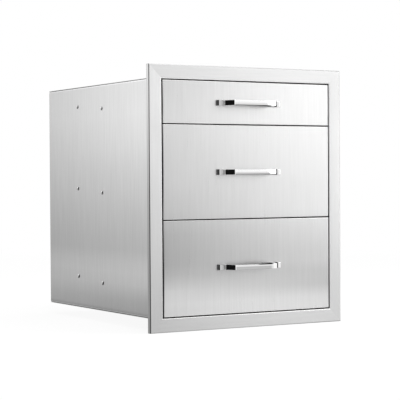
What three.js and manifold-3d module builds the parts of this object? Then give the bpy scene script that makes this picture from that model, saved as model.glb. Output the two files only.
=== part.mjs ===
// Outdoor kitchen drawer unit for flush mounting: a mitred face frame, a closed casing of
// folded stainless sheet, and one shallow and two deep drawers on telescopic ball-bearing
// slides, each with a bow handle.
// Lengths are in millimetres. X runs to the right as seen from the front, Y runs back from
// the face into the wall, and Z is up. The finished group is moved so that its origin lies
// in the middle of the unit's box, on its lowest plane.

import * as THREE from 'three';
import { mergeVertices } from 'three/addons/utils/BufferGeometryUtils.js';
import Module from 'manifold-3d';

const manifold = await Module();
manifold.setup();

// Face frame: rails and stiles of folded sheet, mitred at the corners
const faceWidth = 450;
const faceHeight = 521;
const faceBorder = 28;
const frameSheet = 1.2;
const frameBend = 0.8;
const lipBend = 2.2;
const lipDepth = 13;
const lipHem = 12;
const jambDepth = 20;

// Casing behind the frame
const caseDepth = 518;
const caseSheet = 1;
const caseBend = 0.8;
const caseFlange = 12;
const caseToJamb = 1.8;

// Drawer fronts: a hollow pan closed from behind by a second one
const drawerGap = 2.2;
const topFrontHeight = 84;
const middleFrontShare = 0.498;
const frontDepth = 18;
const frontSheet = 1;
const frontBend = 0.5;
const linerFlange = 12;

// Drawer boxes
const boxSheet = 0.8;
const boxBend = 0.8;
const boxRise = 8;
const boxSafeEdge = 8;
const boxSafeLip = 4;
const boxBackFlange = 10;
const boxBackDrop = 6;
const boxBehindSlide = 4;
const shallowBoxHeadroom = 12;
const deepBoxHeadroom = 27.4;

// Telescopic slides
const slideHeight = 45.7;
const slideThickness = 12.7;
const slideSheet = 1.2;
const slideBend = 0.4;
const slideLip = 2.4;
const slideToJamb = 2;
const slideToBack = 46;
const slideOverlap = 30;
const slidePassing = 0.6;
const outerBallRadius = 2;
const innerBallRadius = 1.6;
const ballPlay = 0.35;
const ballsInRow = 4;
const cageSheet = 0.7;
const cageEndMargin = 10;
const cageLengthShare = 0.24;
const cageArmShare = 1.15;
const outerRaceShare = 0.52;
const innerRaceShare = 0.71;
const raceWidthShare = 0.85;
const raceDepthShare = 0.35;
const deepSlideRise = 56.4;
const shallowSlideRise = 44.3;

// Rivets that hold each cabinet member to the casing
const rivetShankRadius = 2;
const rivetHeadRadius = 4;
const rivetHeadHeight = 1.6;
const rivetStagger = 4.2;
const rivetPlaceShares = [0.517, 0.776];

// Bow handles, a little below the middle of their fronts
const handleDrop = 0.6;
const handleHoleSpacing = 128;
const handleFootLength = 22.8;
const handleFootThickness = 6;
const handleFootSlope = 3.4;
const handleFootStep = 5;
const handleRiserRun = 8.2;
const handleRiserWidth = 6.5;
const handleReach = 28;
const handleBow = 1.5;
const handleGripThickness = 6;
const handleEndHeight = 11.4;
const handleWaistHeight = 9.6;
const handleBend = 2.4;

// Fits
const seam = 0.3;
const cutOverrun = 5;

// Facets
const bendSteps = 2;
const faceBendSteps = 4;
const handleBendSteps = 4;
const curveSteps = 12;
const rivetFacets = 12;
const ballFacets = 6;
const ballRings = 4;

// Finishes
const brushedSteel = { color: 0xc9cacb, roughness: 0.34, metalness: 1 };
const casingSteel = { color: 0xc4c5c6, roughness: 0.38, metalness: 1 };
const zincPlate = { color: 0xb4b8bc, roughness: 0.42, metalness: 1 };
const ballSteel = { color: 0x9da1a6, roughness: 0.25, metalness: 1 };
const polishedSteel = { color: 0xdfe1e3, roughness: 0.08, metalness: 1 };

// Sizes that follow from the driving ones
const caseInset = faceBorder - frameSheet - caseToJamb - caseSheet;
const caseHalfWidth = faceWidth / 2 - caseInset;
const caseInnerHalf = caseHalfWidth - caseSheet;
const caseBottom = caseInset;
const caseTop = faceHeight - caseInset;
const caseFront = frameSheet + seam;
const frontWidth = faceWidth - 2 * (faceBorder + drawerGap);
const slideFront = jambDepth + slideToJamb;
const slideLength = caseDepth - slideFront - slideToBack;
const travel = slideLength - slideOverlap;
const cageFront = slideFront + travel / 4 + cageEndMargin;
const cageLength = slideLength * cageLengthShare;
const boxHalfWidth = caseInnerHalf - slideThickness;
const boxFront = frontDepth + seam;
const boxEnd = slideFront + slideLength - boxBehindSlide;

const unit = new THREE.Group();

// A closed geometry as a solid that can be joined and cut
function solidOf(geometry) {
  const bare = geometry.clone();
  bare.deleteAttribute('normal');
  bare.deleteAttribute('uv');
  const merged = mergeVertices(bare.index ? bare.toNonIndexed() : bare);
  return new manifold.Manifold(new manifold.Mesh({
    numProp: 3,
    vertProperties: new Float32Array(merged.attributes.position.array),
    triVerts: new Uint32Array(merged.index.array),
  }));
}

function geometryOf(solid) {
  const mesh = solid.getMesh();
  const geometry = new THREE.BufferGeometry();
  geometry.setAttribute('position', new THREE.BufferAttribute(mesh.vertProperties, 3));
  geometry.setIndex(new THREE.BufferAttribute(mesh.triVerts, 1));
  const faceted = geometry.toNonIndexed();
  faceted.computeVertexNormals();
  return faceted;
}

function joined(first, ...others) {
  return geometryOf(others.reduce((whole, other) => whole.add(solidOf(other)), solidOf(first)));
}

function cutFrom(first, ...cutters) {
  return geometryOf(cutters.reduce((rest, cutter) => rest.subtract(solidOf(cutter)), solidOf(first)));
}

function shared(first, second) {
  return geometryOf(solidOf(first).intersect(solidOf(second)));
}

function addPiece(parent, name, geometry, finish) {
  const piece = new THREE.Mesh(geometry, new THREE.MeshStandardMaterial(finish));
  piece.name = name;
  parent.add(piece);
  return piece;
}

// A corner of a folded sheet or a rounded outline: its place and the radius inside its bend
function corner(across, up, bend) {
  return { at: new THREE.Vector2(across, up), bend };
}

function leftOf(direction) {
  return new THREE.Vector2(-direction.y, direction.x);
}

function heading(from, to) {
  return to.at.clone().sub(from.at).normalize();
}

// Section of a sheet folded along a run of corners. The corners lie on one face of the
// sheet, which fills the left of the run, and each bend keeps the sheet's thickness.
function foldedSection(corners, sheet, steps = bendSteps) {
  const near = [corners[0].at.clone()];
  const far = [corners[0].at.clone().addScaledVector(leftOf(heading(corners[0], corners[1])), sheet)];
  for (let i = 1; i < corners.length - 1; i++) {
    const into = heading(corners[i - 1], corners[i]);
    const out = heading(corners[i], corners[i + 1]);
    const turn = Math.atan2(into.cross(out), into.dot(out));
    const side = Math.sign(turn);
    const radius = corners[i].bend + (side > 0 ? sheet : 0);
    const start = corners[i].at.clone().addScaledVector(into, -radius * Math.tan(Math.abs(turn) / 2));
    const centre = start.addScaledVector(leftOf(into), side * radius);
    for (let step = 0; step <= steps; step++) {
      const normal = leftOf(into).rotateAround(new THREE.Vector2(), turn * step / steps);
      if (radius > 0 || step === 0) {
        near.push(centre.clone().addScaledVector(normal, -side * radius));
      }
      if (radius !== sheet || side < 0 || step === 0) {
        far.push(centre.clone().addScaledVector(normal, sheet - side * radius));
      }
    }
  }
  const last = corners.length - 1;
  near.push(corners[last].at.clone());
  far.push(corners[last].at.clone().addScaledVector(leftOf(heading(corners[last - 1], corners[last])), sheet));
  return new THREE.Shape([...near, ...far.reverse()]);
}

// Closed outline of a handle, with its corners rounded by arcs
function roundedShape(corners) {
  const points = corners.flatMap((here, i) => {
    const before = corners[(i + corners.length - 1) % corners.length];
    const after = corners[(i + 1) % corners.length];
    if (here.bend === 0) {
      return [here.at.clone()];
    }
    const into = heading(before, here);
    const out = heading(here, after);
    const turn = Math.atan2(into.cross(out), into.dot(out));
    const start = here.at.clone().addScaledVector(into, -here.bend * Math.tan(Math.abs(turn) / 2));
    const centre = start.addScaledVector(leftOf(into), Math.sign(turn) * here.bend);
    return Array.from({ length: handleBendSteps + 1 }, (unused, step) => {
      const normal = leftOf(into).rotateAround(new THREE.Vector2(), turn * step / handleBendSteps);
      return centre.clone().addScaledVector(normal, -Math.sign(turn) * here.bend);
    });
  });
  return new THREE.Shape(points);
}

// A section drawn in X and Z, run along Y between two depths
function alongDepth(section, near, far) {
  const geometry = new THREE.ExtrudeGeometry(section, { depth: far - near, bevelEnabled: false });
  return geometry.rotateX(Math.PI / 2).translate(0, far, 0);
}

function block(width, depth, height) {
  return new THREE.BoxGeometry(width, depth, height);
}

// A pan pressed from one sheet, with its web's outer face on Y = 0, its flanges running
// back, and its middle at X = 0 and Z = 0. The web meets the flanges in rounded bends.
function pan(width, height, depth, sheet, bend, steps = bendSteps) {
  const rounded = (across, up, from, radius) => {
    const outline = new THREE.Shape([
      new THREE.Vector2(-across / 2, -up / 2),
      new THREE.Vector2(across / 2, -up / 2),
      new THREE.Vector2(across / 2, up / 2),
      new THREE.Vector2(-across / 2, up / 2),
    ]);
    const geometry = new THREE.ExtrudeGeometry(outline, {
      depth: depth + cutOverrun,
      bevelThickness: radius,
      bevelSize: radius,
      bevelOffset: -radius,
      bevelSegments: steps,
    });
    return geometry.rotateX(Math.PI / 2).rotateZ(Math.PI).translate(0, from + radius, 0);
  };
  const outer = rounded(width, height, 0, bend + sheet);
  const inner = rounded(width - 2 * sheet, height - 2 * sheet, sheet, bend);
  const openSide = block(width + cutOverrun, 2 * depth + cutOverrun, height + cutOverrun);
  openSide.translate(0, 2 * depth + cutOverrun / 2, 0);
  return cutFrom(outer, inner, openSide);
}

// Face frame: every member has the same section. It starts at the hem behind the lip, goes
// round the lip and the face, and ends as the jamb beside the opening.
function frameMember(length) {
  const section = foldedSection([
    corner(lipHem, lipDepth, 0),
    corner(0, lipDepth, lipBend),
    corner(0, 0, frameBend),
    corner(faceBorder, 0, frameBend),
    corner(faceBorder, jambDepth, 0),
  ], frameSheet, faceBendSteps);
  const geometry = new THREE.ExtrudeGeometry(section, { depth: length, bevelEnabled: false });
  const places = geometry.attributes.position;
  for (let i = 0; i < places.count; i++) {
    const mitre = places.getX(i) + seam / 2;
    places.setZ(i, places.getZ(i) > length / 2 ? length - mitre : mitre);
  }
  geometry.computeVertexNormals();
  return geometry;
}

const stile = frameMember(faceHeight);
const rail = frameMember(faceWidth);

addPiece(unit, 'frame_left_stile', stile, brushedSteel).position.set(-faceWidth / 2, 0, 0);

const rightStile = addPiece(unit, 'frame_right_stile', stile.clone(), brushedSteel);
rightStile.position.set(faceWidth / 2, 0, faceHeight);
rightStile.rotation.y = Math.PI;

const bottomRail = addPiece(unit, 'frame_bottom_rail', rail, brushedSteel);
bottomRail.position.set(faceWidth / 2, 0, 0);
bottomRail.rotation.y = -Math.PI / 2;

const topRail = addPiece(unit, 'frame_top_rail', rail.clone(), brushedSteel);
topRail.position.set(-faceWidth / 2, 0, faceHeight);
topRail.rotation.y = Math.PI / 2;

// The two deep fronts share the height that the top one leaves, and their boxes are alike
const deepFrontsHeight = faceHeight - 2 * faceBorder - 4 * drawerGap - topFrontHeight;
const middleFrontHeight = deepFrontsHeight * middleFrontShare;
const bottomFrontHeight = deepFrontsHeight - middleFrontHeight;
const bottomFrontBottom = faceBorder + drawerGap;
const middleFrontBottom = bottomFrontBottom + bottomFrontHeight + drawerGap;
const topFrontBottom = middleFrontBottom + middleFrontHeight + drawerGap;
const shallowBoxHeight = topFrontHeight - boxRise - shallowBoxHeadroom;
const deepBoxHeight = Math.min(middleFrontHeight, bottomFrontHeight) - boxRise - deepBoxHeadroom;

// Drawers, from the top down: each front's lower edge and height, the box's height and the
// height of the slides above the front's lower edge
const drawers = [
  {
    name: 'top',
    bottom: topFrontBottom,
    height: topFrontHeight,
    boxHeight: shallowBoxHeight,
    slideRise: shallowSlideRise,
  },
  {
    name: 'middle',
    bottom: middleFrontBottom,
    height: middleFrontHeight,
    boxHeight: deepBoxHeight,
    slideRise: deepSlideRise,
  },
  {
    name: 'bottom',
    bottom: bottomFrontBottom,
    height: bottomFrontHeight,
    boxHeight: deepBoxHeight,
    slideRise: deepSlideRise,
  },
];

// Rivets: the same places serve the rivets and their holes in the casing's sides
const rivetDepths = rivetPlaceShares.map((share) => slideFront + share * slideLength);
const rivetRises = [-rivetStagger, rivetStagger];

// Casing: each side is one sheet with a flange at the top and bottom, the top and bottom
// panels lie on those flanges, and the back is a pan that fits between the sides.
function caseSide() {
  const top = caseTop - caseSheet - seam;
  const bottom = caseBottom + caseSheet + seam;
  const tip = -caseHalfWidth + caseFlange;
  const section = foldedSection([
    corner(tip, top, 0),
    corner(-caseHalfWidth, top, caseBend),
    corner(-caseHalfWidth, bottom, caseBend),
    corner(tip, bottom, 0),
  ], caseSheet);
  const holes = drawers.flatMap((drawer) => rivetDepths.map((depth, i) => {
    const hole = new THREE.CylinderGeometry(
      rivetShankRadius + seam, rivetShankRadius + seam, 2 * cutOverrun, rivetFacets);
    hole.rotateZ(Math.PI / 2);
    return hole.translate(-caseHalfWidth, depth, drawer.bottom + drawer.slideRise + rivetRises[i]);
  }));
  return cutFrom(alongDepth(section, caseFront, caseDepth), ...holes);
}

// The right-hand pieces are the left-hand ones mirrored
const leftHand = new THREE.Group();
const rightHand = new THREE.Group();
rightHand.scale.x = -1;
unit.add(leftHand, rightHand);

addPiece(leftHand, 'casing_left_side', caseSide(), casingSteel);
addPiece(rightHand, 'casing_right_side', caseSide(), casingSteel);

const panelDepth = caseDepth - caseFront;
const panelMiddle = (caseDepth + caseFront) / 2;
const topPanel = block(2 * caseHalfWidth, panelDepth, caseSheet);
topPanel.translate(0, panelMiddle, caseTop - caseSheet / 2);
addPiece(unit, 'casing_top_panel', topPanel, casingSteel);

const bottomPanel = block(2 * caseHalfWidth, panelDepth, caseSheet);
bottomPanel.translate(0, panelMiddle, caseBottom + caseSheet / 2);
addPiece(unit, 'casing_bottom_panel', bottomPanel, casingSteel);

const backInset = 2 * (caseSheet + seam);
const backPanel = pan(
  2 * (caseInnerHalf - seam), caseTop - caseBottom - 2 * backInset, caseFlange, caseSheet, caseBend);
backPanel.rotateZ(Math.PI).translate(0, caseDepth, (caseTop + caseBottom) / 2);
addPiece(unit, 'casing_back_panel', backPanel, casingSteel);

// Telescopic slides, in a section whose first number runs from the casing's wall towards
// the drawer and whose second is the height from the slide's middle. Balls run between
// grooves in the flanges: the outer row joins the cabinet member to the intermediate one,
// and the inner row joins that to the drawer member.
const outerRow = slideThickness * outerRaceShare;
const innerRow = slideThickness * innerRaceShare;
const outerRaceWidth = outerBallRadius * raceWidthShare;
const outerRaceDepth = outerBallRadius * raceDepthShare;
const innerRaceWidth = innerBallRadius * raceWidthShare;
const innerRaceDepth = innerBallRadius * raceDepthShare;

const cabinetWeb = seam;
const cabinetEdge = slideThickness - slideSheet;
const cabinetFlange = slideHeight / 2 - outerRaceDepth;
const outerBallHeight = slideHeight / 2 - slideSheet - ballPlay - outerBallRadius;

const intermediateWeb = caseToJamb + frameSheet + slidePassing;
const intermediateRace = outerBallHeight - outerBallRadius - ballPlay;
const intermediateFlange = intermediateRace + outerRaceDepth;
const intermediateCrest = intermediateFlange + innerRaceDepth / 2;
const innerBallHeight = intermediateCrest - slideSheet - ballPlay - innerBallRadius;

const drawerWeb = slideThickness - seam;
const drawerRace = innerBallHeight - innerBallRadius - ballPlay;
const drawerFlange = drawerRace + innerRaceDepth;
const drawerEdge = innerRow - innerRaceWidth;

// The upper or lower half of a section, completed by its mirror image
function bothHalves(half) {
  const other = half.map((fold) => corner(fold.at.x, -fold.at.y, fold.bend)).reverse();
  return [...half, ...other];
}

const cabinetSection = foldedSection(bothHalves([
  corner(cabinetEdge, cabinetFlange - slideLip, 0),
  corner(cabinetEdge, cabinetFlange, slideBend),
  corner(outerRow + outerRaceWidth, cabinetFlange, 0),
  corner(outerRow, cabinetFlange + outerRaceDepth, outerBallRadius),
  corner(outerRow - outerRaceWidth, cabinetFlange, 0),
  corner(cabinetWeb, cabinetFlange, slideBend),
]), slideSheet);

const intermediateSection = foldedSection(bothHalves([
  corner(innerRow + innerRaceWidth, intermediateCrest - innerRaceDepth, 0),
  corner(innerRow, intermediateCrest, innerBallRadius),
  corner(outerRow, intermediateRace, outerBallRadius),
  corner(intermediateWeb, intermediateFlange, slideBend),
]), slideSheet);

const drawerSection = foldedSection(bothHalves([
  corner(drawerEdge, -drawerFlange, 0),
  corner(innerRow, -drawerRace, innerBallRadius),
  corner(drawerWeb, -drawerFlange, slideBend),
]), slideSheet);

// A ball cage: a folded strip whose arms hold one row of balls above and one below
function ballCage(webStart, rowAcross, rowHeight, ballRadius) {
  const arm = rowHeight + cageSheet / 2;
  const strip = foldedSection(bothHalves([
    corner(rowAcross + ballRadius * cageArmShare, arm, 0),
    corner(webStart, arm, 0),
  ]), cageSheet);
  const pitch = cageLength / ballsInRow;
  const balls = [-1, 1].flatMap((side) => Array.from({ length: ballsInRow }, (unused, i) => {
    const ball = new THREE.SphereGeometry(ballRadius, ballFacets, ballRings);
    return ball.translate(rowAcross, cageFront + (i + 0.5) * pitch, side * rowHeight);
  }));
  return joined(alongDepth(strip, cageFront, cageFront + cageLength), ...balls);
}

const outerCageWeb = (cabinetWeb + slideSheet + intermediateWeb - cageSheet) / 2;
const innerCageWeb = (intermediateWeb + slideSheet + drawerEdge - cageSheet) / 2;
const outerCage = ballCage(outerCageWeb, outerRow, outerBallHeight, outerBallRadius);
const innerCage = ballCage(innerCageWeb, innerRow, innerBallHeight, innerBallRadius);

// A rivet along X: its shank ends inside the cabinet member's web, and its domed head
// lies on the outside of the casing
function rivet() {
  const headSeat = caseSheet + seam;
  const rootDepth = cabinetWeb + slideSheet / 2;
  const dome = Array.from({ length: bendSteps + 1 }, (unused, step) => {
    const angle = Math.PI / 2 * step / bendSteps;
    return new THREE.Vector2(
      rivetHeadRadius * Math.cos(angle), headSeat + rivetHeadHeight * Math.sin(angle));
  });
  dome[bendSteps].x = 0;
  const profile = [
    new THREE.Vector2(0, -rootDepth),
    new THREE.Vector2(rivetShankRadius, -rootDepth),
    new THREE.Vector2(rivetShankRadius, headSeat),
    ...dome,
  ];
  return new THREE.LatheGeometry(profile, rivetFacets).rotateZ(Math.PI / 2);
}

function cabinetMember() {
  const rivets = rivetDepths.map((depth, i) => rivet().translate(0, depth, rivetRises[i]));
  return joined(alongDepth(cabinetSection, slideFront, slideFront + slideLength), ...rivets);
}

for (const drawer of drawers) {
  for (const [side, hand] of [['left', leftHand], ['right', rightHand]]) {
    const slide = new THREE.Group();
    slide.position.set(-caseInnerHalf, 0, drawer.bottom + drawer.slideRise);
    hand.add(slide);
    const name = `${drawer.name}_${side}_slide`;
    const slideEnd = slideFront + slideLength;
    addPiece(slide, `${name}_cabinet_member`, cabinetMember(), zincPlate);
    addPiece(slide, `${name}_intermediate_member`,
      alongDepth(intermediateSection, slideFront, slideEnd), zincPlate);
    addPiece(slide, `${name}_drawer_member`, alongDepth(drawerSection, slideFront, slideEnd), zincPlate);
    addPiece(slide, `${name}_outer_ball_cage`, outerCage.clone(), ballSteel);
    addPiece(slide, `${name}_inner_ball_cage`, innerCage.clone(), ballSteel);
  }
}

// A drawer's box: one sheet folded into both sides and the bottom, with a safe edge turned
// in and down along the top of each side
function boxWrap(height) {
  const edge = boxHalfWidth - boxSafeEdge;
  const half = [
    corner(-edge, height - boxSafeLip, 0),
    corner(-edge, height, boxBend),
    corner(-boxHalfWidth, height, boxBend),
    corner(-boxHalfWidth, 0, boxBend),
  ];
  const other = half.map((fold) => corner(-fold.at.x, fold.at.y, fold.bend)).reverse();
  return alongDepth(foldedSection([...half, ...other], boxSheet), boxFront, boxEnd);
}

// A bow handle: its plan, cut to an elevation that is narrower at the waist than at the ends
function bowHandle() {
  const end = (handleHoleSpacing + handleFootLength) / 2;
  const footInside = end - handleFootLength;
  const shoulder = footInside + handleFootStep;
  const grip = shoulder - handleRiserRun;
  const underGrip = grip - handleRiserWidth;
  const bow = [];
  const under = [];
  for (let step = 0; step <= curveSteps; step++) {
    const along = 2 * step / curveSteps - 1;
    const rise = handleBow * (1 - along * along);
    if (step > 0 && step < curveSteps) {
      bow.push(corner(grip * along, -handleReach - rise, 0));
      under.unshift(corner(underGrip * along, handleGripThickness - handleReach - rise, 0));
    }
  }
  const plan = roundedShape([
    corner(-end, 0, 0),
    corner(handleFootSlope - end, -handleFootThickness, 0),
    corner(-shoulder, -handleFootThickness, handleBend),
    corner(-grip, -handleReach, handleBend),
    ...bow,
    corner(grip, -handleReach, handleBend),
    corner(shoulder, -handleFootThickness, handleBend),
    corner(end - handleFootSlope, -handleFootThickness, 0),
    corner(end, 0, 0),
    corner(footInside, 0, 0),
    corner(underGrip, handleGripThickness - handleReach, handleBend),
    ...under,
    corner(-underGrip, handleGripThickness - handleReach, handleBend),
    corner(-footInside, 0, 0),
  ]);
  const bar = new THREE.ExtrudeGeometry(plan, { depth: handleEndHeight, bevelEnabled: false });
  bar.translate(0, 0, -handleEndHeight / 2);

  const waist = handleEndHeight - handleWaistHeight;
  const upper = Array.from({ length: curveSteps + 1 }, (unused, step) => {
    const along = 1 - 2 * step / curveSteps;
    const dip = waist / 2 * (1 - along * along);
    return new THREE.Vector2(end * along, handleEndHeight / 2 - dip);
  });
  const lower = upper.map((point) => new THREE.Vector2(point.x, -point.y)).reverse();
  const elevation = new THREE.Shape([...upper, ...lower]);
  return shared(bar, alongDepth(elevation, -handleReach - handleBow - cutOverrun, cutOverrun));
}

for (const drawer of drawers) {
  const group = new THREE.Group();
  const middle = drawer.bottom + drawer.height / 2;
  unit.add(group);

  const skin = pan(frontWidth, drawer.height, frontDepth, frontSheet, frontBend, faceBendSteps);
  addPiece(group, `${drawer.name}_drawer_front`, skin, brushedSteel).position.z = middle;

  const nested = 2 * (frontSheet + seam);
  const liner = pan(frontWidth - nested, drawer.height - nested, linerFlange, frontSheet, frontBend);
  liner.rotateZ(Math.PI).translate(0, frontDepth, middle);
  addPiece(group, `${drawer.name}_drawer_front_liner`, liner, casingSteel);

  const boxBottom = drawer.bottom + boxRise;
  const wrap = addPiece(group, `${drawer.name}_drawer_box`, boxWrap(drawer.boxHeight), casingSteel);
  wrap.position.z = boxBottom;

  const backWidth = 2 * (boxHalfWidth - boxSheet - seam);
  const backHeight = drawer.boxHeight - boxSheet - seam - boxBackDrop;
  const back = pan(backWidth, backHeight, boxBackFlange, boxSheet, boxBend);
  back.translate(0, boxEnd - boxBackFlange, boxBottom + boxSheet + seam + backHeight / 2);
  addPiece(group, `${drawer.name}_drawer_back`, back, casingSteel);

  const handle = addPiece(group, `${drawer.name}_drawer_handle`, bowHandle(), polishedSteel);
  handle.position.set(0, -seam, middle - handleDrop);
}

// The origin moves to the middle of the unit's box
const frontReach = handleReach + handleBow + seam;
unit.position.y = (frontReach - caseDepth) / 2;

export default unit;
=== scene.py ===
import math

import bmesh
import bpy
from mathutils import Matrix, Vector


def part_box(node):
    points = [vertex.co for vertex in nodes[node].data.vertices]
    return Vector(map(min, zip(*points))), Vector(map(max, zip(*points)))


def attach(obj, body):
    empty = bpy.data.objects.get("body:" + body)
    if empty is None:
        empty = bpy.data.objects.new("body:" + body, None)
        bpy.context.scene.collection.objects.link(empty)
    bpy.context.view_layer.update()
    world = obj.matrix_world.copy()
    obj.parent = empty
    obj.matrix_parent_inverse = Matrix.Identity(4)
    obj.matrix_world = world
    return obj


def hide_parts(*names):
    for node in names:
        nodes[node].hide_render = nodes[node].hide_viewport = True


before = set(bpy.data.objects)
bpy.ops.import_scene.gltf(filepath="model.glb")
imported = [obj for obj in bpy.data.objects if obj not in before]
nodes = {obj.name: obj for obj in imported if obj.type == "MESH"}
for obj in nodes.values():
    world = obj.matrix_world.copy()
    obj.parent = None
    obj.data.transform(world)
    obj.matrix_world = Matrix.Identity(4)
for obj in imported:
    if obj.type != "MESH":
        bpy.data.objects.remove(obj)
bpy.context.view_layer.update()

scene = bpy.context.scene
scene.view_settings.view_transform = "Standard"

# Camera: a long lens about three metres from the unit, a little above the middle of its height.
# It stands 30 degrees to the left of the face, so that the face and the left side both show.
camera_place = (-1.5271, -2.6758, 0.2958)
camera_heading = math.radians(-30.181)
camera_pitch = math.radians(-0.795)
camera_roll = math.radians(-0.383)
quarter_turn = math.radians(90)
lens = bpy.data.cameras.new("camera")
lens.sensor_width = 36
lens.lens = 128.94
camera = bpy.data.objects.new("camera", lens)
heading = Matrix.Rotation(camera_heading, 4, "Z")
tilt = Matrix.Rotation(quarter_turn + camera_pitch, 4, "X")
roll = Matrix.Rotation(camera_roll, 4, "Z")
camera.matrix_world = Matrix.Translation(camera_place) @ heading @ tilt @ roll
scene.collection.objects.link(camera)
scene.camera = camera


# Studio: a white floor and a white room, with one soft lamp overhead, one to the right of the
# face and one behind the left side. Black cards stand on either side, as chrome needs.
class Socket:
    """A value in a shader: arithmetic on it adds the nodes that work it out."""

    def __init__(self, tree, output):
        self.tree = tree
        self.output = output

    def node(self, kind, settings, inputs, result=0):
        """The result of any other node, from its type, its settings and its inputs."""
        made = self.tree.nodes.new(kind)
        for name, value in settings.items():
            if name == "stops":
                while len(made.color_ramp.elements) < len(value):
                    made.color_ramp.elements.new(1)
                for stop, (share, grey) in zip(made.color_ramp.elements, value):
                    stop.position = share
                    stop.color = (grey, grey, grey, 1)
            else:
                setattr(made, name, value)
        for name, value in inputs.items():
            if isinstance(value, Socket):
                self.tree.links.new(value.output, made.inputs[name])
            else:
                made.inputs[name].default_value = value
        return Socket(self.tree, made.outputs[result])

    def math(self, operation, *values):
        """The result of one Math node."""
        return self.node("ShaderNodeMath", {"operation": operation}, dict(enumerate(values)))

    def __add__(self, other):
        return self.math("ADD", self, other)

    def __sub__(self, other):
        return self.math("SUBTRACT", self, other)

    def __rsub__(self, other):
        return self.math("SUBTRACT", other, self)

    def __mul__(self, other):
        return self.math("MULTIPLY", self, other)

    def __truediv__(self, other):
        return self.math("DIVIDE", self, other)

    def __abs__(self):
        return self.math("ABSOLUTE", self)

    __radd__ = __add__
    __rmul__ = __mul__

    def larger(self, other):
        """This value or another one, whichever is larger."""
        return self.math("MAXIMUM", self, other)

    def along(self, axis):
        """One coordinate of a place or a direction, such as X."""
        return self.node("ShaderNodeSeparateXYZ", {}, {0: self}, axis)

    def facing(self):
        """The direction that the surface faces."""
        return self.node("ShaderNodeNewGeometry", {}, {}, "Normal")

    def noise(self, scale, detail=2.0):
        """Noise over a place that is scaled by a different amount along each axis."""
        stretched = self.node("ShaderNodeMapping", {}, {"Vector": self, "Scale": scale})
        return self.node("ShaderNodeTexNoise", {}, {"Vector": stretched, "Scale": 1.0, "Detail": detail})

    def ramp(self, *stops):
        """Numbers from 0 to 1 at rising values of this one, with straight runs between them."""
        low, high = stops[0][0], stops[-1][0]
        shares = [((value - low) / (high - low), grey) for value, grey in stops]
        return self.node("ShaderNodeValToRGB", {"stops": shares}, {0: (self - low) / (high - low)})

    def tinted(self, tint):
        """A colour from a brightness."""
        return self.node("ShaderNodeMix", {"data_type": "RGBA"}, {0: self, 6: (0, 0, 0, 1), 7: tint}, 2)


def backdrop(tree):
    """How far a ray is one that sees the background: 1 for camera, glossy and transmitted rays."""
    rays = tree.nodes.new("ShaderNodeLightPath")
    seen_by = ("Is Camera Ray", "Is Glossy Ray", "Is Transmission Ray")
    first, second, third = (Socket(tree, rays.outputs[name]) for name in seen_by)
    return first.larger(second).larger(third)


def in_order(shape):
    """Puts a shape's points, edges and faces in an order that their places alone decide, because
    some operators leave them in one that changes from run to run."""
    for rank, vert in enumerate(sorted(shape.verts, key=lambda vert: vert.co[:])):
        vert.index = rank
    shape.verts.sort()
    for sequence in (shape.edges, shape.faces):
        ranked = sorted(sequence, key=lambda item: sorted(vert.index for vert in item.verts))
        for rank, item in enumerate(ranked):
            item.index = rank
        sequence.sort()


def object_of(shape, name, material):
    """Makes a finished shape an object of the scene."""
    in_order(shape)
    mesh = bpy.data.meshes.new(name)
    shape.to_mesh(mesh)
    shape.free()
    mesh.materials.append(material)
    made = bpy.data.objects.new(name, mesh)
    scene.collection.objects.link(made)
    return made


white_tint = (1, 1, 1, 1)
room_light = 0.35
world = bpy.data.worlds.new("room")
world.use_nodes = True
scene.world = world
room = world.node_tree
seen = backdrop(room)
strength = room_light * (1 - seen) + seen
glow = seen.node("ShaderNodeBackground", {}, {"Color": white_tint, "Strength": strength})
room.links.new(glow.output, room.nodes["World Output"].inputs["Surface"])

# The lamps light the floor as a grey one. The camera and the metal see it as white paper that
# glows, and near the unit a little less, so that a faint shadow shows there.
floor_reach = 20
floor_grey = (0.85, 0.85, 0.85, 1)
shadow_share = 0.25
shadow_glow = 0.86
shadow_near, shadow_far = 0.6, 3.0
paper = bpy.data.materials.new("white_paper")
paper.use_nodes = True
sheet = paper.node_tree
sheet.nodes.remove(sheet.nodes["Principled BSDF"])
seen = backdrop(sheet)
spot = Socket(sheet, sheet.nodes.new("ShaderNodeTexCoord").outputs["Object"])
distance = spot.node("ShaderNodeVectorMath", {"operation": "LENGTH"}, {0: spot}, 1)
away = distance.ramp((shadow_near, 0), (shadow_far, 1))
lit = seen.node("ShaderNodeBsdfDiffuse", {}, {"Color": floor_grey})
faint = seen.node("ShaderNodeBsdfDiffuse", {}, {"Color": (shadow_share * (1 - away)).tinted(white_tint)})
strength = shadow_glow + (1 - shadow_glow) * away
white = seen.node("ShaderNodeEmission", {}, {"Color": white_tint, "Strength": strength})
shown = seen.node("ShaderNodeAddShader", {}, {0: faint, 1: white})
mixed = seen.node("ShaderNodeMixShader", {}, {0: seen, 1: lit, 2: shown})
sheet.links.new(mixed.output, sheet.nodes["Material Output"].inputs["Surface"])
shape = bmesh.new()
bmesh.ops.create_grid(shape, x_segments=1, y_segments=1, size=floor_reach)
floor = object_of(shape, "floor", paper)


def soft_lamp(name, place, target, width, height, radiance):
    """A rectangular lamp that faces a target, with its brightness per area."""
    lamp = bpy.data.lights.new(name, "AREA")
    lamp.shape = "RECTANGLE"
    lamp.size = width
    lamp.size_y = height
    lamp.energy = radiance * math.pi * width * height
    holder = bpy.data.objects.new(name, lamp)
    holder.location = place
    holder.rotation_euler = (Vector(target) - Vector(place)).to_track_quat("-Z", "Y").to_euler()
    holder.visible_camera = False
    scene.collection.objects.link(holder)


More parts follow.
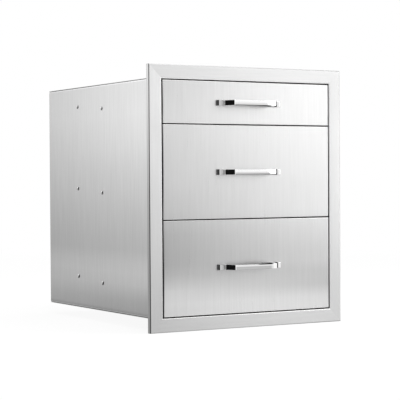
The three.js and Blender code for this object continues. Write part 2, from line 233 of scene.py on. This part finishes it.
soft_lamp("lamp_above", (0.2, -0.3, 2.4), (0, 0, 0.3), width=2.4, height=1.8, radiance=1.5)
soft_lamp("lamp_right", (2.465, -2.224, 1.1), (0, -0.2, 0.4), width=1.6, height=2.0, radiance=2.2)
soft_lamp("lamp_left", (-2.0, 2.4, 1.25), (-0.2, 0, 0.4), width=1.6, height=1.6, radiance=0.9)

card_height = 0.66
left_card, left_width = (-1.2, -0.4, 0.34), 1.1
right_card, right_width = (1.2, 0.0, 0.34), 0.7
shape = bmesh.new()
for place, width in ((left_card, left_width), (right_card, right_width)):
    upright = Matrix.Rotation(quarter_turn, 4, "Y")
    stretched = Matrix.Diagonal((1, width, card_height, 1))
    seat = Matrix.Translation(place) @ stretched @ upright
    bmesh.ops.create_grid(shape, x_segments=1, y_segments=1, size=0.5, matrix=seat)
card_black = (0.01, 0.01, 0.01, 1)
black = bpy.data.materials.new("black_card")
black.use_nodes = True
black.node_tree.nodes["Principled BSDF"].inputs["Base Color"].default_value = card_black
black.node_tree.nodes["Principled BSDF"].inputs["Roughness"].default_value = 1
card = object_of(shape, "black_card", black)
card.visible_camera = False
card.visible_diffuse = False
card.visible_shadow = False


# Face frame: two rails and two stiles of 1.2 mm stainless sheet, folded round the lip and into
# the opening and brushed along their length. A weld in each mitre is ground flush with them.
def metal(name, paint, **fixed):
    """A metal finish: paint gives what varies over a piece, and fixed what doesn't."""
    material = bpy.data.materials.new(name)
    material.use_nodes = True
    tree = material.node_tree
    shader = tree.nodes["Principled BSDF"]
    shader.inputs["Metallic"].default_value = 1
    for socket, value in fixed.items():
        shader.inputs[socket].default_value = value
    place = Socket(tree, tree.nodes.new("ShaderNodeTexCoord").outputs["Object"])
    for socket, value in paint(place).items():
        tree.links.new(value.output, shader.inputs[socket])
    return material


scratches_per_metre = 700.0
bands_per_metre = 330.0
lengths_per_metre = 12.0
scratch_contrast = 0.08


def brushed(name, grain, tone, rough=0.3, streaks=0.1, bend_highlight=0.0):
    """Stainless sheet brushed along one axis: fine scratches, broader bands and a slow tone, which
    on the frame, the casing and the fronts is painted light and shade. A painted highlight makes
    the bends that face up or down brighter, but less so at the lower right."""
    fine = [scratches_per_metre] * 3
    broad = [bands_per_metre] * 3
    fine["XYZ".index(grain)] = lengths_per_metre
    broad["XYZ".index(grain)] = lengths_per_metre

    def paint(place):
        scratches = place.noise(fine, 3.0)
        bands = place.noise(broad, 3.0)
        level = tone(place) * (1 + scratch_contrast * (scratches - 0.5) + streaks * (bands - 0.5))
        # Painted highlight: the bends that face up or down are brightened, less so at the lower right.
        if bend_highlight:
            facing = place.facing()
            bend = facing.along("Y").ramp((-0.98, 0), (-0.85, 1), (-0.3, 1), (-0.1, 0))
            level_edge = abs(facing.along("Z")).ramp((0.1, 0), (0.3, 1))
            highlight_fade = place.along("X").ramp((0, 0), (0.2, 1)) * place.along("Z").ramp((0.03, 0.75), (0.3, 0))
            level = level + bend_highlight * bend * level_edge * (1 - highlight_fade)
        bumps = {"Strength": 0.25, "Distance": 0.0002, "Height": scratches}
        return {
            "Base Color": level.tinted(white_tint),
            "Roughness": rough - 0.06 + 0.12 * scratches,
            "Normal": scratches.node("ShaderNodeBump", {}, bumps),
        }

    return metal(name, paint)


def piece_of(shape, name, material, body):
    """Makes a finished shape a piece of the unit that moves with a body."""
    piece = object_of(shape, name, material)
    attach(piece, body)
    return piece


merge_reach = 1e-6
flat_angle = math.radians(0.5)
same_way = 0.99


def merged_copy(node):
    """A copy of a CAD node's mesh, with its loose facets joined."""
    shape = bmesh.new()
    shape.from_mesh(nodes[node].data)
    bmesh.ops.remove_doubles(shape, verts=shape.verts, dist=merge_reach)
    return shape


def round_shaded(shape, sharp=50):
    """Shades the bends as round ones, and keeps the edges that turn by more than an angle."""
    for face in shape.faces:
        face.smooth = True
    for edge in shape.edges:
        edge.smooth = edge.calc_face_angle(math.pi) < math.radians(sharp)


def stand_for(piece, node):
    """Puts a piece in the place of a CAD node, with the faces beside its bends shaded flat."""
    modifier = piece.modifiers.new("flat_faces", "WEIGHTED_NORMAL")
    modifier.keep_sharp = True
    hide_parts(node)


def folded_sheet(node, material, body, punch=None):
    """Stands for a CAD sheet, with the holes, if any, that punch makes in it."""
    shape = merged_copy(node)
    if punch:
        punch(shape)
    round_shaded(shape)
    stand_for(piece_of(shape, node + "_sheet", material, body), node)


def leaning(axis, levels, leans):
    """The steel's level with painted light and shade on it: a slow change of brightness up a piece,
    and how it leans along another axis. Both are given at rising heights, and a lean of 0.5 is none."""
    def tone(place):
        height = place.along("Z")
        lean = 2 * height.ramp(*leans) - 1
        return height.ramp(*levels) * (1 + lean * place.along(axis))
    return tone


frame_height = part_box("frame_top_rail")[1].z
frame_half_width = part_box("frame_right_stile")[1].x
face_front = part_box("frame_right_stile")[0].y
face_border = 0.028
lip_border = 0.01
bend_end, lip_start = 0.0015, 0.0022
right_edge = 0.2


def folded_edge(axis, middle, half, tone, lit_right=0):
    """Painted shade darkens a frame member's outer bend, and its lip a little less, and a painted
    highlight brightens the bend round the opening. With lit_right, the outer bend at the right
    shines instead, with a painted highlight."""
    def edged(place):
        outside = abs(place.along(axis) - middle)
        behind = place.along("Y") - face_front
        lip = outside.ramp((half - lip_border, 0), (half - lip_border + 0.0001, 1))
        lip = lip * place.along("Z").ramp((0.15, 1), (0.4, 0.78))
        lit = lit_right * place.along("X").ramp((right_edge, 0), (right_edge + 0.001, 1)) * lip
        lit = lit * behind.ramp((bend_end, 1), (lip_start, 0))
        depth = behind.ramp((0, 0), (0.0004, 0.93), (bend_end, 0.93), (lip_start, 0.5))
        opening = outside.ramp((half - face_border, 0.6), (half - face_border + 0.0016, 0))
        return tone(place) * (1 - (lip - lit) * depth) * (1 + opening + 0.3 * lit * depth)
    return edged


# The rails' steel level, with painted light and shade that leans across each rail.
rail_level = leaning("X", [(0.01, 0.571), (0.51, 0.575)], [(0.01, 0.68), (0.51, 0.1)])


def rail_tone(place):
    """A rail is a little brighter in its middle, a painted light."""
    across = place.along("X")
    return rail_level(place) * (1.01 - 1.6 * across * across)


# The stiles' steel level, with painted light and shade up them and across them.
stile_level = leaning(
    "X",
    [(0.02, 0.524), (0.08, 0.531), (0.2, 0.559), (0.26, 0.559), (0.36, 0.577), (0.5, 0.562)],
    [(0.02, 0.62), (0.08, 0.535), (0.2, 0.355), (0.26, 0.25), (0.34, 0.08), (0.5, 0.05)])


def stile_tone(place):
    """The stiles differ a little more at their upper ends: painted light on the left one and painted shade
    on the right one.
    """
    return stile_level(place) * (1 - place.along("X") * place.along("Z").ramp((0.4, 0), (0.45, 0.2)))


rail_edge = folded_edge("Z", frame_height / 2, frame_height / 2, rail_tone)
# The rails also get a painted highlight on their bends that face up or down.
rail_steel = brushed("rail_steel", "X", rail_edge, bend_highlight=0.3)
stile_edge = folded_edge("X", 0, frame_half_width, stile_tone, lit_right=1)
stile_steel = brushed("stile_steel", "Z", stile_edge)
mitre_seam = 0.0003
sides = {"left": -1, "right": 1}
for end, up in (("top", 1), ("bottom", -1)):
    rail = f"frame_{end}_rail"
    folded_sheet(rail, rail_steel, "casing")
    for side, outward in sides.items():
        shape = merged_copy(rail)
        across = Vector((outward, 0, -up)).normalized()
        rest = [face for face in shape.faces if face.normal.dot(across) < same_way]
        bmesh.ops.delete(shape, geom=rest, context="FACES")
        grown = bmesh.ops.extrude_face_region(shape, geom=shape.faces[:], use_keep_orig=True)["geom"]
        ends = [item for item in grown if isinstance(item, bmesh.types.BMVert)]
        bmesh.ops.translate(shape, verts=ends, vec=across * mitre_seam * math.sqrt(0.5))
        bmesh.ops.recalc_face_normals(shape, faces=shape.faces)
        round_shaded(shape)
        piece_of(shape, f"frame_{end}_{side}_weld", stile_steel, "casing")
for side in sides:
    folded_sheet(f"frame_{side}_stile", stile_steel, "casing")


# Casing: two sides, a top, a bottom and a back of 1 mm sheet, spot-welded through their
# flanges. The grain runs upright on the sides and the back, and front to back on the rest.
def dress(names, material):
    """Gives CAD pieces, by name, one finish."""
    for name in names:
        nodes[name].data.materials.clear()
        nodes[name].data.materials.append(material)


casing_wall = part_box("casing_right_side")[1].x


def panel_tone(place):
    """Painted shade makes the top and the bottom a little darker at their two outer edges, which show."""
    return abs(place.along("X")).ramp((casing_wall - 0.002, 0.5), (casing_wall - 0.0002, 0.42))


# The sides and the back: the steel's level with painted light and shade, darker near the bottom and brighter
# higher up, with a brighter line along the top, and leaning from front to back.
side_tone = leaning(
    "Y",
    [(0.0265, 0.4), (0.0272, 0.235), (0.0288, 0.235), (0.0335, 0.306), (0.055, 0.342), (0.085, 0.43),
     (0.11, 0.456), (0.13, 0.438), (0.155, 0.395), (0.18, 0.405), (0.28, 0.482), (0.36, 0.52), (0.43, 0.523),
     (0.4932, 0.49), (0.494, 0.66)],
    [(0.03, 0.45), (0.06, 0.45), (0.09, 0.3), (0.14, 0.26), (0.38, 0.22), (0.48, 0.27)])
casing_steel = brushed("casing_steel", "Z", side_tone, rough=0.34, streaks=0.22)
panel_steel = brushed("panel_steel", "Y", panel_tone, rough=0.36)
for side in sides:
    folded_sheet(f"casing_{side}_side", casing_steel, "casing")
folded_sheet("casing_back_panel", casing_steel, "casing")
dress(["casing_top_panel", "casing_bottom_panel"], panel_steel)

# Rivets: two blind rivets hold each slide to the casing's side. Only their domed heads show,
# and these smooth domes lie over the coarser ones of the slides.
rivet_radius = 0.0045
rivet_rise = 0.0019
rivet_depths = (0.01055, 0.1271)
rivet_stagger = 0.0042
slide_heights = {"top": 0.4511, "middle": 0.2756, "bottom": 0.0866}
cut_reach = 1e-7


def dome(shape, place, radius, rise, outward):
    """A domed head on a wall that faces along X: half a flattened ball, closed by a flat base."""
    made = bmesh.ops.create_uvsphere(shape, u_segments=20, v_segments=10, radius=1)["verts"]
    flat = Matrix.Diagonal((rise * outward, radius, radius, 1))
    bmesh.ops.transform(shape, matrix=Matrix.Translation(place) @ flat, verts=made)
    ball = set(made)
    edges = [edge for edge in shape.edges if edge.verts[0] in ball]
    faces = [face for face in shape.faces if face.verts[0] in ball]
    bmesh.ops.bisect_plane(
        shape, geom=made + edges + faces, plane_co=place, plane_no=(-outward, 0, 0),
        clear_outer=True, dist=cut_reach)
    in_order(shape)
    rim = [edge for edge in shape.edges if edge.is_boundary]
    bmesh.ops.contextual_create(shape, geom=rim)


def riveted(place):
    """Bright metal, with painted shade where a head faces forward and down, and less of it higher up."""
    cloud = place.noise((300.0, 300.0, 300.0))
    facing = place.facing()
    painted_shade = (-0.85 * facing.along("Y") - 0.5 * facing.along("Z")).ramp((0.1, 0), (0.32, 1))
    painted_shade = painted_shade * place.along("Z").ramp((0.1, 0.98), (0.45, 0.72))
    level = (0.42 + 0.2 * cloud) * (1 - painted_shade)
    return {"Base Color": level.tinted(white_tint), "Roughness": 0.14 + 0.1 * cloud}


rivet_steel = metal("rivet_steel", riveted)
for side, outward in sides.items():
    shape = bmesh.new()
    for height in slide_heights.values():
        for depth, step in zip(rivet_depths, (-rivet_stagger, rivet_stagger)):
            place = Vector((outward * casing_wall, depth, height + step))
            dome(shape, place, rivet_radius, rivet_rise, outward)
    bmesh.ops.recalc_face_normals(shape, faces=shape.faces)
    round_shaded(shape)
    piece_of(shape, f"{side}_rivet_heads", rivet_steel, "casing")

# Drawer fronts: each is a hollow pan of 1 mm sheet, brushed upright, with a liner that closes it
# from behind and carries the screws of the handle.
drawers = ("top", "middle", "bottom")
front_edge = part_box("top_drawer_front")[1].x
# The fronts' steel level, with painted light and shade up them and leaning across them.
front_tone = leaning(
    "X",
    [(0.03, 0.628), (0.055, 0.624), (0.085, 0.516), (0.11, 0.46), (0.15, 0.455), (0.19, 0.48),
     (0.235, 0.539), (0.34, 0.568), (0.42, 0.597), (0.48, 0.582)],
    [(0.04, 0.56), (0.06, 0.44), (0.08, 0.21), (0.13, 0.8), (0.19, 0.79), (0.29, 0.47),
     (0.42, 0.33), (0.48, 0.38)])


def front_painted_light(place):
    """A front has painted light that makes it a little brighter in its middle, and painted shade round
    the bends at its two sides. The bend at its right loses that painted shade towards the top."""
    across = place.along("X")
    bend = abs(across).ramp((front_edge - 0.0016, 0), (front_edge - 0.0006, 0.72))
    right = across.ramp((0.1, 0), (0.101, 1)) * place.along("Z").ramp((0.15, 0), (0.45, 0.9))
    return front_tone(place) * (1.025 - 2.4 * across * across) * (1 - bend * (1 - right))


def even(level):
    """The same brightness all over a piece."""
    return lambda place: level


front_streaks = {"top": 0.12, "middle": 0.11, "bottom": 0.12}
liner_steel = brushed("liner_steel", "Z", even(0.5), rough=0.38)
for drawer in drawers:
    # Each front's steel carries that painted light and shade, and a painted highlight on its bends that face
    # up or down.
    front_steel = brushed(
        drawer + "_front_steel", "Z", front_painted_light, streaks=front_streaks[drawer], bend_highlight=0.4)
    folded_sheet(drawer + "_drawer_front", front_steel, drawer + "_drawer")
    folded_sheet(drawer + "_drawer_front_liner", liner_steel, drawer + "_drawer")

# Drawer boxes: one sheet folded into both sides and the bottom, with a back spot-welded in. The
# inside is left as it comes from the mill, so its grain is faint and its shine is even.
box_steel = brushed("box_steel", "Y", even(0.52), rough=0.42)
for drawer in drawers:
    folded_sheet(drawer + "_drawer_box", box_steel, drawer + "_drawer")
    folded_sheet(drawer + "_drawer_back", box_steel, drawer + "_drawer")


# Slides: three grooved members a side, rolled from strip, punched with slots and zinc-plated, so
# that their shine is a little blue and cloudy. Short screws with a cross recess hold the inner
# member to the box.
def plated(place):
    """Zinc plate: cloudy, and drawn along the member where the rolls ran."""
    cloud = place.noise((60.0, 60.0, 60.0))
    drawn = place.noise((900.0, 8.0, 900.0))
    level = 0.4 + 0.16 * cloud + 0.08 * drawn
    bumps = {"Strength": 0.15, "Distance": 0.0001, "Height": drawn}
    return {
        "Base Color": level.tinted((0.97, 0.99, 1, 1)),
        "Roughness": 0.26 + 0.16 * cloud,
        "Normal": drawn.node("ShaderNodeBump", {}, bumps),
    }


line_slack = 1e-5
least_wall = 1e-4


def slotted(height, depths, half_length, half_width):
    """Punches a row of round-ended slots through the web of a slide's member."""
    def punch(shape):
        bmesh.ops.dissolve_limit(shape, angle_limit=flat_angle, verts=shape.verts, edges=shape.edges)
        ends = [depth + end for depth in depths for end in (-half_length, half_length)]
        cuts = [(Vector((0, 0, height + up)), (0, 0, 1)) for up in (-half_width, half_width)]
        cuts += [(Vector((0, end, 0)), (0, 1, 0)) for end in ends]
        for place, normal in cuts:
            whole = shape.verts[:] + shape.edges[:] + shape.faces[:]
            bmesh.ops.bisect_plane(shape, geom=whole, plane_co=place, plane_no=normal, dist=cut_reach)
        for depth in depths:
            window = []
            for face in shape.faces:
                middle = face.calc_center_median()
                inside = abs(middle.y - depth) < half_length and abs(middle.z - height) < half_width
                if inside and abs(face.normal.x) > same_way:
                    window.append(face)
            bmesh.ops.delete(shape, geom=window, context="FACES")
            bmesh.ops.bridge_loops(shape, edges=[edge for edge in shape.edges if edge.is_boundary])
        corners = []
        for edge in shape.edges:
            first, second = (vert.co for vert in edge.verts)
            on_end = any(abs(abs(first.y - depth) - half_length) < line_slack for depth in depths)
            on_side = abs(abs(first.z - height) - half_width) < line_slack
            through = abs(first.x - second.x) > least_wall and (first - second).yz.length < merge_reach
            if on_end and on_side and through:
                corners.append(edge)
        bmesh.ops.bevel(
            shape, geom=corners, offset=0.9 * half_width, segments=4, profile=0.5, affect="EDGES",
            clamp_overlap=True, material=-1)
    return punch


def cross_head(radius, rise):
    """The mesh of a screw's pan head with a cross recess, which stands on its origin along Z."""
    arm, reach, flat_top = 0.16 * radius, 0.5 * radius, 0.72 * radius
    taper, recess_floor = 0.6, 0.25 * rise
    rounding = ((0.93 * radius, 0.8 * rise), (radius, 0.5 * rise), (radius, 0.0))
    head = bmesh.new()
    lines = (0, arm, (arm + reach) / 2, reach)
    bmesh.ops.create_grid(head, x_segments=6, y_segments=6, size=1)
    for vert in head.verts:
        for axis in (0, 1):
            vert.co[axis] = math.copysign(lines[round(3 * abs(vert.co[axis]))], vert.co[axis])
        vert.co.z = rise
    middles = [(face, face.calc_center_median()) for face in head.faces]
    corners = [face for face, middle in middles if min(abs(middle.x), abs(middle.y)) > arm]
    bmesh.ops.delete(head, geom=corners, context="FACES")
    cross = head.faces[:]
    outline = [edge for edge in head.edges if edge.is_boundary]
    ring = bmesh.ops.create_circle(
        head, cap_ends=False, segments=len(outline), radius=flat_top,
        matrix=Matrix.Translation((0, 0, rise)))["verts"]
    loop = [edge for edge in head.edges if edge.verts[0] in ring]
    bmesh.ops.bridge_loops(head, edges=outline + loop)
    sunk = bmesh.ops.extrude_face_region(head, geom=cross)["geom"]
    for vert in (item for item in sunk if isinstance(item, bmesh.types.BMVert)):
        vert.co = Vector((taper * vert.co.x, taper * vert.co.y, recess_floor))
    bmesh.ops.delete(head, geom=cross, context="FACES")
    for reach_out, level in rounding:
        grown = bmesh.ops.extrude_edge_only(head, edges=loop)["geom"]
        loop = [item for item in grown if isinstance(item, bmesh.types.BMEdge) and item.is_boundary]
        for vert in {vert for edge in loop for vert in edge.verts}:
            flat = vert.co.xy.normalized() * reach_out
            vert.co = Vector((flat.x, flat.y, level))
    bmesh.ops.contextual_create(head, geom=loop)
    bmesh.ops.recalc_face_normals(head, faces=head.faces)
    mesh = bpy.data.meshes.new("cross_head")
    head.to_mesh(mesh)
    head.free()
    return mesh


def seated(shape, mesh, seat):
    """Adds a mesh to a shape, moved to its seat."""
    before = set(shape.verts)
    shape.from_mesh(mesh)
    bmesh.ops.transform(shape, matrix=seat, verts=[vert for vert in shape.verts if vert not in before])


zinc = metal("zinc_plate", plated)
slide_screw = cross_head(radius=0.0034, rise=0.0018)
screw_end_radius, screw_end_rise = 0.0024, 0.0009
screw_depths = (-0.19, -0.02, 0.2)
inner_member_wall = 0.1888
box_inner_wall = 0.1865
slots = {
    "cabinet": ((-0.18, -0.09, 0.07, 0.19), 0.007, 0.0028),
    "intermediate": ((-0.19, -0.12, 0.1, 0.19), 0.009, 0.0032),
    "drawer": ((-0.155, -0.07, 0.06, 0.15), 0.007, 0.0024),
}
for drawer in drawers:
    bodies = {
        "cabinet": "casing", "intermediate": drawer + "_intermediate_members", "drawer": drawer + "_drawer"}
    for side, outward in sides.items():
        slide = f"{drawer}_{side}_slide"
        height = slide_heights[drawer]
        for member, body in bodies.items():
            punch = slotted(height, *slots[member])
            folded_sheet(f"{slide}_{member}_member", zinc, body, punch)
        shape = bmesh.new()
        turned = Matrix.Rotation(quarter_turn * outward, 4, "Y")
        for depth in screw_depths:
            head_place = Matrix.Translation((outward * inner_member_wall, depth, height))
            seated(shape, slide_screw, head_place @ turned)
            end_place = Vector((outward * box_inner_wall, depth, height))
            dome(shape, end_place, screw_end_radius, screw_end_rise, -outward)
        bmesh.ops.recalc_face_normals(shape, faces=shape.faces)
        round_shaded(shape, sharp=40)
        piece_of(shape, slide + "_screws", rivet_steel, drawer + "_drawer")


# Ball cages: thin bright strips that space the balls, four in each row. The balls are hardened
# and polished, and rounder than the solids of the cages have them.
def polished_ball(place):
    """Hard polished steel, hardly clouded."""
    cloud = place.noise((500.0, 500.0, 500.0))
    return {"Base Color": (0.5 + 0.1 * cloud).tinted(white_tint), "Roughness": 0.06 + 0.06 * cloud}


ball_steel = metal("ball_steel", polished_ball)
cage_steel = brushed("cage_steel", "Y", even(0.55), rough=0.3)
casing_inner_wall = 0.2
ball_depths = (-0.0936, -0.0666, -0.0396, -0.0126)
rows = {
    "outer": {"inset": 0.006604, "rise": 0.0193, "radius": 0.00201},
    "inner": {"inset": 0.009017, "rise": 0.01478, "radius": 0.00161},
}
for drawer in drawers:
    for row, ball in rows.items():
        for side, outward in sides.items():
            cage = f"{drawer}_{side}_slide_{row}_ball_cage"
            dress([cage], cage_steel)
            shape = bmesh.new()
            beside = outward * (casing_inner_wall - ball["inset"])
            for depth in ball_depths:
                for up in (-ball["rise"], ball["rise"]):
                    place = Matrix.Translation((beside, depth, slide_heights[drawer] + up))
                    bmesh.ops.create_icosphere(shape, subdivisions=2, radius=ball["radius"], matrix=place)
            round_shaded(shape, sharp=80)
            piece_of(shape, cage + "_balls", ball_steel, f"{drawer}_{row}_ball_cages")


# Handles: bows of die-cast metal, chromed and polished, thicker at the ends than at the waist,
# with all their edges rounded. Each stands on two feet and is screwed on from behind.
bow_front, bow_back = -0.264, -0.260


def mirror(height, side, edge, depth, rim, split, upper, lower, tip, heel):
    """Chrome with painted reflections: painted dark on the risers, on the feet beside them and along
    the bow's upper or lower rim, with a painted change of reflection at a height across the bow,
    except at its right end. A nook on the left foot reflects nothing and is painted a light grey."""
    def paint(place):
        cloud = place.noise((90.0, 90.0, 90.0))
        facing = place.facing()
        across = place.along("X")
        rise = place.along("Z") - height
        turned = facing.along("X")
        left_riser = (-1 * turned).ramp((0.4, 0), (0.65, 0.985))
        right_riser = turned.ramp((0.2, 0), (0.4, 0.985))
        riser = left_riser.larger(right_riser) * abs(across).ramp((0.066, 1), (0.070, 0))
        foot = across.ramp(
            (-0.0745, 0.3), (-0.0735, 0.12), (-0.0718, 0.03), (-0.0713, 0.66), (-0.066, 0.5),
            (-0.0637, 0.52), (-0.0576, 0.84), (-0.056, 1), (0.058, 1), (0.0585, 0.02), (heel, 0.02),
            (heel + 0.0006, 0.9))
        front = place.along("Y").ramp((bow_front, 1), (bow_back, 0))
        foot = foot * (1 - front * across.ramp((tip, 0), (tip + 0.0005, 0.98)))
        bow = front * across.ramp((-0.050, 0), (-0.046, 1))
        bend = (side * facing.along("Z")).ramp((0.05, 0), (0.35, edge))
        dark = bend.larger((side * rise).ramp((depth - 0.0005, 0), (depth + 0.0005, 1)))
        dark = dark * across.ramp(*rim)
        shade = rise.ramp((split - 0.0008, 1 - lower), (split + 0.0008, 1 - upper))
        shade = shade * across.ramp((0.033, 1), (0.0425, 0))
        nook = (1 - front) * across.ramp((-0.0645, 0), (-0.0625, 0.9), (-0.0578, 0.9), (-0.0575, 0))
        level = (0.93 + 0.04 * cloud) * (1 - riser) * foot * (1 - bow * dark) * (1 - bow * shade)
        return {
            "Base Color": level.tinted(white_tint),
            "Roughness": 0.03 + 0.03 * cloud,
            "Metallic": level.ramp((0.1, 0), (0.4, 1)) * (1 - nook),
        }
    return paint


# The painted reflection on each bow: the side of its dark rim (1 above, -1 below), how dark that
# rounded edge is, how far from the middle the rim starts, and how dark it is from end to end. Then
# the height where the painted reflection changes and its brightness above and below that, the place
# where the painted dark of the right tip starts, and the one where the painted dark of the right foot ends.
painted_bow_reflections = {
    "top": {
        "side": -1, "edge": 1, "depth": 0.0039, "split": 0.0, "upper": 1, "lower": 0.8,
        "tip": 0.0478, "heel": 0.0645,
        "rim": [(-0.045, 0.85), (0.0, 0.9), (0.015, 0.9), (0.035, 1), (0.044, 0.5)]},
    "middle": {
        "side": -1, "edge": 0.4, "depth": 0.0031, "split": 0.0, "upper": 1, "lower": 0.74,
        "tip": 0.0468, "heel": 0.0644,
        "rim": [(-0.045, 0.5), (0.02, 0.55), (0.034, 0.7), (0.042, 0.65)]},
    "bottom": {
        "side": 1, "edge": 1, "depth": 0.0037, "split": 0.0014, "upper": 0.9, "lower": 0.52,
        "tip": 0.0492, "heel": 0.0651,
        "rim": [(-0.045, 0.15), (0.0, 0.3), (0.01, 1), (0.036, 1), (0.042, 0.2)]},
}
edge_radius = 0.001
edge_angle = math.radians(60)
# Where the chrome is painted dark or light grey in place of a reflection, it has no gloss of its own.
dark_is_matt = {"Specular IOR Level": 0}
for drawer in drawers:
    node = drawer + "_drawer_handle"
    low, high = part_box(node)
    reflection = mirror((low.z + high.z) / 2, **painted_bow_reflections[drawer])
    chrome = metal(drawer + "_handle_chrome", reflection, **dark_is_matt)
    shape = merged_copy(node)
    bmesh.ops.dissolve_limit(shape, angle_limit=flat_angle, verts=shape.verts, edges=shape.edges)
    edges = [edge for edge in shape.edges if edge.calc_face_angle(0) > edge_angle]
    bmesh.ops.bevel(
        shape, geom=edges, offset=edge_radius, offset_type="OFFSET", segments=3, profile=0.5,
        affect="EDGES", clamp_overlap=True, material=-1)
    round_shaded(shape)
    piece = piece_of(shape, drawer + "_bow_handle", chrome, drawer + "_drawer")
    stand_for(piece, node)

# Handle screws: two steel pan heads with a cross recess, on washers, at the back of each liner.
# They go through the liner and the front, and pull the handle's feet against it.
liner_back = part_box("top_drawer_front_liner")[1].y
handle_screw = cross_head(radius=0.0038, rise=0.0022)
screw_spacing = 0.128
washer_radius, washer_rise, washer_edge = 0.005, 0.0008, 0.0002
rim_angle = math.radians(40)
for drawer in drawers:
    low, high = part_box(drawer + "_drawer_handle")
    height = (low.z + high.z) / 2
    shape = bmesh.new()
    for across in (-screw_spacing / 2, screw_spacing / 2):
        turned = Matrix.Translation((across, liner_back, height)) @ Matrix.Rotation(-quarter_turn, 4, "X")
        disc = bmesh.ops.create_cone(
            shape, cap_ends=True, segments=32, radius1=washer_radius, radius2=washer_radius,
            depth=washer_rise, matrix=turned @ Matrix.Translation((0, 0, washer_rise / 2)))["verts"]
        edges = [edge for edge in shape.edges if edge.verts[0] in disc]
        rims = [edge for edge in edges if edge.calc_face_angle(0) > rim_angle]
        bmesh.ops.bevel(
            shape, geom=rims, offset=washer_edge, segments=2, profile=0.5, affect="EDGES",
            clamp_overlap=True, material=-1)
        seated(shape, handle_screw, turned @ Matrix.Translation((0, 0, washer_rise)))
    bmesh.ops.recalc_face_normals(shape, faces=shape.faces)
    round_shaded(shape, sharp=40)
    piece_of(shape, drawer + "_handle_screws", rivet_steel, drawer + "_drawer")
